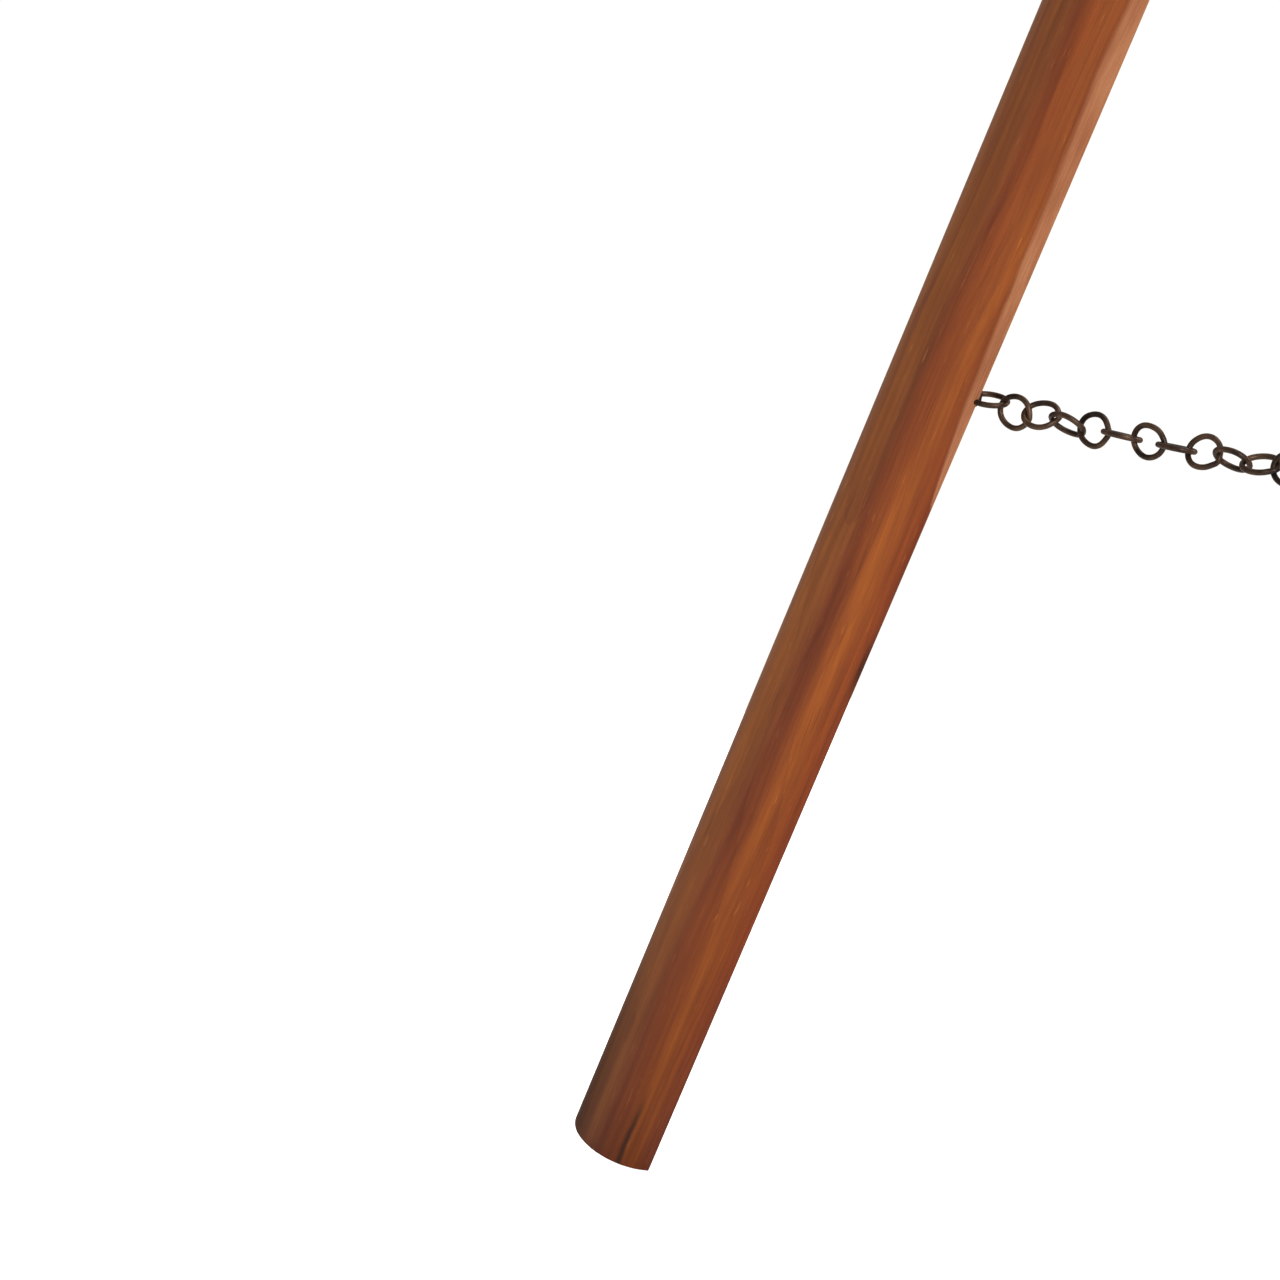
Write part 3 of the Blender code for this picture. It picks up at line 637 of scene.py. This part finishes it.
def make_beam(material):
    """The round top beam, lightly chamfered at its ends."""
    centre, size = box_of("top_beam")
    radius, length = size.z / 2 - 0.0002, size.x
    shift = Vector((0.012, 0.008, 3.1))
    rings = []
    ends = ((0.0, 0.0060), (0.001, 0.0040), (0.004, 0.0008), (0.006, 0.0))
    stations = list(ends) + [(0.006 + (length - 0.012) * k / 110, 0.0) for k in range(1, 110)]
    stations += [(length - along, inset) for along, inset in reversed(ends)]
    for along, inset in stations:
        ring = []
        for k in range(72):
            angle = 2 * math.pi * k / 72
            wobble = 0.0005 * noise.noise((along * 2.1, math.cos(angle) * 1.4, math.sin(angle) * 1.4))
            reach = radius - inset - 0.0005 + wobble
            point = Vector((reach * math.cos(angle), reach * math.sin(angle), along - length / 2))
            ring.append(point + shift)
        rings.append(ring)
    place = Matrix.Translation(centre) @ ALONG_X @ Matrix.Translation(-shift)
    mesh = rings_mesh("beam", rings)
    set_tone(mesh, 0.5)
    finish_piece("top_beam_log", mesh, material, "stand", ["top_beam"], place, 25)


BRACE_WIDTH = 0.0378
BRACE_DEPTH = 0.0298
BRACE_LENGTH = 0.330
BRACE_ALONG_BEAM = 0.2565  # its run along the beam
BRACE_DOWN_LEG = 0.26  # and down the leg
BRACE_SCREW = 0.112  # from the middle of the brace


def make_brace(word, side, material, metal):
    """A flat brace from the beam to the front leg; its ends are hidden in both. A screw holds each end."""
    node = "brace_" + word
    centre, size = box_of(node)
    leg_up = Vector((0, math.sin(SLANT), math.cos(SLANT)))
    normal = Vector((0, math.cos(SLANT), -math.sin(SLANT)))
    along = (Vector((side, 0, 0)) * BRACE_ALONG_BEAM - leg_up * BRACE_DOWN_LEG).normalized()
    width = normal.cross(along)
    turn = Matrix((width, normal, along)).transposed().to_4x4()
    matrix = Matrix.Translation(centre) @ turn
    make_board(node, BRACE_WIDTH, BRACE_DEPTH, BRACE_LENGTH, matrix, material)
    shape = bmesh.new()
    for face in (-1, 1):
        for offset in (-BRACE_SCREW, BRACE_SCREW):
            spot = centre + along * offset + normal * face * (BRACE_DEPTH / 2 - SCREW_SUNK)
            screw_head(shape, spot, normal * face)
    bmesh_piece("brace_screws_" + word, shape, metal, "stand", [], 25)


# ---------------------------------------------------------------- metal pieces


def link_mesh(shape, centre, along, roll, seed, scale=1.0):
    """One ring of round wire, bent a little unevenly, with the butt joint of its wire on one side."""
    draw = random.Random(seed)
    along = along.normalized()
    level = Vector((0, 1, 0)) if abs(along.z) > 0.99 else Vector((0, 0, 1))
    side = along.cross(level).normalized()
    up = side.cross(along).normalized()
    wide = (up * math.cos(roll) + side * math.sin(roll)).normalized()
    flat = along.cross(wide).normalized()
    lobe = draw.uniform(0, 2 * math.pi)
    uneven = draw.uniform(0.010, 0.035)
    joint = draw.uniform(-0.45, 0.45)
    peak = draw.choice((0.0, 0.05, 0.09, 0.13))
    around, across = 44, 12
    rows = []
    for k in range(around):
        turn = 2 * math.pi * k / around
        gap = abs((turn - joint + math.pi) % (2 * math.pi) - math.pi)
        swell = 1 + uneven * math.cos(3 * turn + lobe) - 0.5 * uneven
        reach = 1 + peak * (math.exp(-((gap / 0.30) ** 2)) - 0.35 * math.exp(-((gap / 0.8) ** 2)))
        path = along * (LINK_HALF_LENGTH * reach * math.cos(turn))
        path += wide * (LINK_HALF_WIDTH * swell * reach * math.sin(turn))
        ahead = along * math.cos(turn) / LINK_HALF_LENGTH
        aside = wide * math.sin(turn) / LINK_HALF_WIDTH
        outward = (ahead + aside).normalized()
        seam = 0.16 * math.exp(-((gap / 0.07) ** 2))
        swelling = 0.05 * math.exp(-((gap / 0.22) ** 2))
        wire = LINK_WIRE * (1 - seam + swelling)
        row = []
        for j in range(across):
            tilt = 2 * math.pi * j / across
            offset = outward * (wire * math.cos(tilt)) + flat * (wire * math.sin(tilt))
            row.append(shape.verts.new(centre + scale * path + offset))
        rows.append(row)
    for k in range(around):
        low, high = rows[k], rows[(k + 1) % around]
        for j in range(across):
            after = (j + 1) % across
            shape.faces.new((low[j], high[j], high[after], low[after]))


def bmesh_piece(name, shape, material, body, nodes, sharp=40):
    mesh = bpy.data.meshes.new(name)
    shape.to_mesh(mesh)
    shape.free()
    return finish_piece(name, mesh, material, body, nodes, sharp=sharp)


# Chosen for the first rings: degrees from upright, degrees aside from the chain's run, metres lower.
FIRST_ROLLS = (-8, -77, 0, -44, 51, -6, 82, 4, 84, -20, 51, -64, -8)
FIRST_TURNS = (0, 0, 5, 0, 4, 11, 5, 7, 4, 6, 5, 0, 0)
FIRST_DROPS = (0.0, 0.0, 0.0040, 0.0, 0.0018, 0.0008, 0.0, -0.0006, 0.0, -0.0014, 0.0, 0.0, 0.0)


def spreader_path(word):
    """Points of the slack chain from the back leg's eye to the front leg's, a ring's pitch apart."""
    start = Vector(JOINTS["back_chain_hang_" + word]["pos_m"])
    end = Vector(JOINTS["front_chain_hang_" + word]["pos_m"])
    steps = 2000
    points = []
    travelled = 0.0
    last = None
    target = SPREADER_TRIM + LINK_PITCH / 2
    for k in range(steps + 1):
        share = k / steps
        point = start.lerp(end, share)
        point.z -= 4 * SPREADER_SAG * share * (1 - share)
        if last is not None:
            travelled += (point - last).length
            if travelled >= target:
                points.append((share, point.copy(), (point - last).normalized()))
                target += LINK_PITCH
        last = point
    return points[:-1]


def make_spreader(word, material):
    draw = random.Random(11 if word == "left" else 23)
    halves = {"back": bmesh.new(), "front": bmesh.new()}
    roll = math.radians(FIRST_ROLLS[-1])
    for k, (share, point, along) in enumerate(spreader_path(word)):
        if k < len(FIRST_ROLLS):
            roll = math.radians(FIRST_ROLLS[k])
            point = point - Vector((0, 0, FIRST_DROPS[k]))
            along = Matrix.Rotation(-math.radians(FIRST_TURNS[k]), 3, "Z") @ along
        else:
            roll += math.radians(80 + draw.uniform(-24, 24))
        half = "back" if share < 0.5 else "front"
        link_mesh(halves[half], point, along, roll, 1000 + k)
    for half, shape in halves.items():
        node = f"{half}_spreader_chain_{word}"
        bmesh_piece(node + "_rings", shape, material, body_of(node), [node])


def make_hanging_chain(node, start, end, trim_start, trim_end, material):
    """A taut chain: rings at right angles in turn, as near the usual pitch as fits a whole number."""
    draw = random.Random(seed_of(node))
    along = (end - start).normalized()
    low = start + along * trim_start
    high = end - along * trim_end
    count = round((high - low).length / LINK_PITCH)
    pitch = (high - low).length / count
    shape = bmesh.new()
    for k in range(count):
        centre = low + along * pitch * (k + 0.5)
        roll = math.radians(45 + 90 * (k % 2) + draw.uniform(-11, 11))
        link_mesh(shape, centre, along, roll, seed_of(node) + k, pitch / LINK_PITCH)
    bmesh_piece(node + "_rings", shape, material, body_of(node), [node])


def torus(shape, centre, hole, radius, wire, around=56, across=16):
    """A round ring whose hole runs along a direction."""
    hole = hole.normalized()
    first = hole.orthogonal().normalized()
    second = hole.cross(first)
    rows = []
    for k in range(around):
        turn = 2 * math.pi * k / around
        outward = first * math.cos(turn) + second * math.sin(turn)
        row = []
        for j in range(across):
            tilt = 2 * math.pi * j / across
            rim = centre + outward * (radius + wire * math.cos(tilt))
            row.append(shape.verts.new(rim + hole * wire * math.sin(tilt)))
        rows.append(row)
    for k in range(around):
        low, high = rows[k], rows[(k + 1) % around]
        for j in range(across):
            after = (j + 1) % across
            shape.faces.new((low[j], low[after], high[after], high[j]))


def turned(shape, base, direction, stations, sides=32, flats=0):
    """A turned or, with flats, a faceted solid along a direction from (distance, radius) stations."""
    direction = direction.normalized()
    first = direction.orthogonal().normalized()
    second = direction.cross(first)
    rows = []
    for along, radius, faceted in stations:
        row = []
        for k in range(sides):
            turn = 2 * math.pi * k / sides
            reach = radius
            if faceted and flats:
                reach = radius / math.cos((turn % (2 * math.pi / flats)) - math.pi / flats)
            spoke = first * math.cos(turn) + second * math.sin(turn)
            row.append(shape.verts.new(base + direction * along + spoke * reach))
        rows.append(row)
    for low, high in zip(rows, rows[1:]):
        for k in range(sides):
            after = (k + 1) % sides
            shape.faces.new((low[k], low[after], high[after], high[k]))
    shape.faces.new(list(reversed(rows[0])))
    shape.faces.new(rows[-1])


def make_eye(node, centre, hole, shank, size, material):
    """A screw eye or eye bolt: ring, neck and the shank that runs into the wood.

    Its size is the ring's radius, the wire's radius and the reach of the shank from the ring's centre.
    """
    radius, wire, reach = size
    shape = bmesh.new()
    torus(shape, centre, hole, radius, wire)
    neck_start = (radius - 0.3 * wire, wire * 1.25, 0)
    neck_end = (radius + 1.2 * wire, wire * 1.05, 0)
    turned(shape, centre, shank, (neck_start, neck_end, (reach, wire, 0)), 20)
    bmesh_piece(node + "_metal", shape, material, body_of(node), [node])


def make_leg_eyes(word, side, material):
    """The eyes that hold the two ends of a spreader chain, one in the back leg and one in the front."""
    size = (LEG_EYE_RADIUS, EYE_WIRE, LEG_EYE_REACH)
    slanted = {"back": Matrix.Rotation(SLANT, 3, "X"), "front": Matrix.Rotation(-SLANT, 3, "X")}
    for end in ("back", "front"):
        centre = Vector(JOINTS[f"{end}_chain_hang_{word}"]["pos_m"])
        if end == "back":
            hole = slanted[end] @ Vector((0, 0, 1))
            shank = Vector((side, 0, 0))
        else:
            hole = Vector((1, 0, 0))
            shank = slanted[end] @ Vector((0, -1, 0))
        make_eye(f"{end}_leg_eye_{word}", centre, hole, shank, size, material)


# Turned profiles: distance along the axis, radius, and 1 where the outline is a hexagon.
NUT_PROFILE = (
    (0, 0.0084, 1),
    (0.0012, 0.0087, 1),
    (0.0056, 0.0087, 1),
    (0.0068, 0.0078, 0),
    (0.0070, 0.0045, 0),
)
BOLT_HEAD = 0.010
BOLT_PROFILE = (
    (-0.150, 0.0078, 0),
    (-0.0001, 0.0078, 0),
    (0.0, 0.0112, 1),
    (0.0075, 0.0112, 1),
    (0.0098, 0.0096, 0),
    (BOLT_HEAD, 0.005, 0),
)
WASHER_PROFILE = (
    (0, 0.0212, 0),
    (0.0006, 0.0219, 0),
    (0.0022, 0.0219, 0),
    (0.0030, 0.0208, 0),
    (0.0030, 0.0085, 0),
)


def make_hardware(word, side, chain_metal, bolt_metal):
    """One side's hanger and nut, joining ring, seat eyes and hanging chains."""
    chain_low, chain_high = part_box("upper_chain_" + word)
    hang = Vector((chain_low.x + chain_high.x, 0, 0)) / 2
    hang.z = JOINTS["swing"]["pos_m"][2]
    ring = Vector((hang.x, 0, JOINTS["seat_rock"]["pos_m"][2]))
    hole = Vector((1, 0, 0))
    up = Vector((0, 0, 1))
    hanger_size = (HANGER_RADIUS, THICK_WIRE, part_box("hanger_eye_" + word)[1].z - hang.z)
    make_eye("hanger_eye_" + word, hang, hole, up, hanger_size, bolt_metal)
    nut = "hanger_nut_" + word
    shape = bmesh.new()
    turned(shape, Vector((hang.x, 0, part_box(nut)[0].z)), up, NUT_PROFILE, 48, 6)
    bmesh_piece("hanger_nut_hex_" + word, shape, bolt_metal, "stand", [nut], 20)
    joining = "joining_ring_" + word
    shape = bmesh.new()
    torus(shape, ring, hole, RING_RADIUS, THICK_WIRE, 72, 18)
    bmesh_piece("joining_ring_round_" + word, shape, chain_metal, "bench", [joining])
    make_hanging_chain("upper_chain_" + word, hang, ring, HANGER_TRIM, RING_TRIM, chain_metal)
    inward = Vector((-side, 0, 0))
    for end in ("front", "rear"):
        node = f"{end}_seat_eye_{word}"
        low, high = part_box(node)
        eye = Vector((hang.x, (low.y + high.y) / 2, (low.z + high.z) / 2))
        eye_size = (SEAT_EYE_RADIUS, EYE_WIRE, (high - low).x - SEAT_EYE_RADIUS - EYE_WIRE)
        make_eye(node, eye, Vector((0, 1, 0)), inward, eye_size, chain_metal)
        make_hanging_chain(f"{end}_chain_{word}", ring, eye, RING_TRIM, SEAT_EYE_TRIM, chain_metal)


def make_pivot(word, side, metal):
    """The hex-headed pivot bolt, seen outside the legs, and its washer."""
    bolt = "pivot_bolt_" + word
    low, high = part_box(bolt)
    outer = high.x if side > 0 else -low.x
    outward = Vector((side, 0, 0))
    base = Vector((side * (outer - BOLT_HEAD), 0, PIVOT_Z))
    shape = bmesh.new()
    turned(shape, base, outward, BOLT_PROFILE, 48, 6)
    bmesh_piece("pivot_bolt_hex_" + word, shape, metal, "stand", [bolt], 20)
    washer = "pivot_washer_" + word
    low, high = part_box(washer)
    base = Vector((low.x if side > 0 else high.x, 0, PIVOT_Z))
    shape = bmesh.new()
    turned(shape, base, outward, WASHER_PROFILE, 64)
    bmesh_piece("pivot_washer_round_" + word, shape, metal, "stand", [washer], 30)


SCREW_RADIUS = 0.0046


def screw_head(shape, place, normal):
    """A low domed head with a hexagonal drive pocket."""
    stations = (
        (-0.0006, SCREW_RADIUS, 0),
        (0.0002, SCREW_RADIUS, 0),
        (0.0008, SCREW_RADIUS * 0.82, 0),
        (0.0011, SCREW_RADIUS * 0.55, 0),
        (0.0011, 0.0019, 1),
        (-0.0004, 0.0018, 1),
    )
    turned(shape, place, normal, stations, 24, 6)


def make_screws(metal):
    """Screws through the slats into the rails, through the back slats into the posts, and on the arms."""
    shape = bmesh.new()
    up = Vector((0, 0, 1))
    rails = [box_of(node)[0].x for node in ("seat_side_left", "middle_bearer", "seat_side_right")]
    for k in range(1, 6):
        centre, size = box_of(f"seat_slat_{k}")
        for x in rails:
            for offset in (-0.5, 0.5):
                spot = Vector((x, centre.y + offset * 0.5 * size.y, centre.z + size.z / 2 - SCREW_SUNK))
                screw_head(shape, spot, up)
    lean = Matrix.Rotation(-BACK_SLANT, 3, "X")
    forward = lean @ Vector((0, -1, 0))
    along = lean @ up
    posts = [box_of(node)[0].x for node in ("back_post_left", "back_post_right")]
    for k in range(1, 5):
        centre, size = box_of(f"back_slat_{k}")
        height, depth = unleaned(size.z, size.y)
        for x in posts:
            for offset in (-0.25, 0.25):
                spot = Vector((x, centre.y, centre.z)) + forward * (depth / 2 - SCREW_SUNK)
                spot += along * offset * height
                screw_head(shape, spot, forward)
    for word, side in SIDES:
        arm, arm_size = box_of("armrest_" + word)
        post = box_of("arm_post_" + word)[0]
        for offset in (-0.010, 0.010):
            spot = Vector((post.x, post.y + offset, arm.z + arm_size.z / 2 - SCREW_SUNK))
            screw_head(shape, spot, up)
        post, size = box_of("arm_post_" + word)
        rail = box_of("seat_side_" + word)[0]
        outward = Vector((side, 0, 0))
        for offset in (-0.020, 0.020):
            spot = Vector((post.x + side * (size.x / 2 - SCREW_SUNK), post.y, rail.z + offset))
            screw_head(shape, spot, outward)
    bmesh_piece("bench_screws", shape, metal, "bench", [], 25)


# ---------------------------------------------------------------- stage


def make_camera():
    yaw, pitch = math.radians(CAMERA_YAW), math.radians(CAMERA_PITCH)
    forward = Vector((math.sin(yaw) * math.cos(pitch), math.cos(yaw) * math.cos(pitch), -math.sin(pitch)))
    data = bpy.data.cameras.new("camera")
    data.sensor_width = SENSOR
    data.lens = CAMERA_LENS
    data.clip_end = 100
    camera = bpy.data.objects.new("camera", data)
    camera.location = CAMERA_PLACE
    camera.rotation_euler = forward.to_track_quat("-Z", "Y").to_euler()
    bpy.context.collection.objects.link(camera)
    bpy.context.scene.camera = camera


def area_light(name, place, target, size, power, color=(1, 1, 1), glossy=True):
    data = bpy.data.lights.new(name, "AREA")
    data.shape = "RECTANGLE"
    data.size, data.size_y = size
    data.energy = power
    data.color = color
    light = bpy.data.objects.new(name, data)
    light.visible_camera = False
    light.visible_glossy = glossy
    light.location = place
    light.rotation_euler = (Vector(target) - Vector(place)).to_track_quat("-Z", "Y").to_euler()
    bpy.context.collection.objects.link(light)


def make_stage():
    scene = bpy.context.scene
    scene.view_settings.view_transform = "Standard"
    world = bpy.data.worlds.new("studio")
    scene.world = world
    world.use_nodes = True
    tree = world.node_tree
    background = tree.nodes["Background"]
    background.inputs["Color"].default_value = (1.0, 0.985, 0.96, 1.0)
    seen = tree.nodes.new("ShaderNodeLightPath").outputs["Is Camera Ray"]
    strength = tree.nodes.new("ShaderNodeMapRange")
    strength.inputs["To Min"].default_value = WORLD_LIGHT
    strength.inputs["To Max"].default_value = WORLD_SEEN
    tree.links.new(seen, strength.inputs["Value"])
    tree.links.new(strength.outputs["Result"], background.inputs["Strength"])
    area_light("key", (-4.6, -4.8, 2.6), (-0.9, 0.2, 0.7), (2.8, 2.8), 238, (1.0, 0.96, 0.90))
    area_light("rim", (-5.2, 3.6, 1.6), (-1.0, 0.5, 0.5), (3.2, 3.0), 70, (1.0, 0.98, 0.78), False)
    area_light("top", (0.6, -1.0, 5.0), (0.0, 0.0, 0.6), (3.0, 3.0), 90)
    area_light("fill", (4.6, -4.2, 2.6), (0.0, 0.0, 0.6), (2.4, 2.4), 110)
    area_light("back", (2.6, 5.4, 3.0), (0.0, 0.0, 0.7), (2.4, 2.4), 70, (1.0, 1.0, 1.0), False)
    n = Nodes("pale_floor")
    place = n.add("TexCoord").outputs["Object"]
    speck = n.noise(place, 40.0, 3.0)
    shades = ((0.3, (0.93, 0.93, 0.93)), (0.7, (0.96, 0.96, 0.96)))
    n.link(n.ramp(speck, shades), n.shader.inputs["Base Color"])
    n.shader.inputs["Roughness"].default_value = 0.8
    n.shader.inputs["Specular IOR Level"].default_value = 0.2
    n.shader.inputs["Emission Color"].default_value = (1.0, 1.0, 1.0, 1.0)
    seen = n.add("LightPath").outputs["Is Camera Ray"]
    n.link(n.math("MULTIPLY", seen, FLOOR_GLOW), n.shader.inputs["Emission Strength"])
    bpy.ops.mesh.primitive_plane_add(size=FLOOR_SIZE, location=(0, 0, 0))
    floor = bpy.context.object
    floor.name = "floor"
    floor.data.materials.append(n.material)


def main():
    log_wood = wood("log_wood_legs", 0.72, leg=True)
    beam_wood = wood("log_wood_round", 0.9)
    bench_wood = wood("bench_boards", 1.0)
    chain_metal = bronze("antique_bronze", srgb(46, 35, 30), srgb(108, 82, 64), 0.40)
    bolt_metal = bronze("dark_bolts", srgb(40, 36, 34), srgb(84, 70, 60), 0.46)
    make_camera()
    make_stage()
    make_beam(beam_wood)
    make_straight_boards(bench_wood)
    make_leaning_boards(bench_wood)
    make_screws(bolt_metal)
    for word, side in SIDES:
        for front in (True, False):
            make_leg(word, side, front, log_wood)
        make_brace(word, side, beam_wood, bolt_metal)
        make_leg_eyes(word, side, chain_metal)
        make_spreader(word, chain_metal)
        make_pivot(word, side, bolt_metal)
        make_hardware(word, side, chain_metal, bolt_metal)


main()
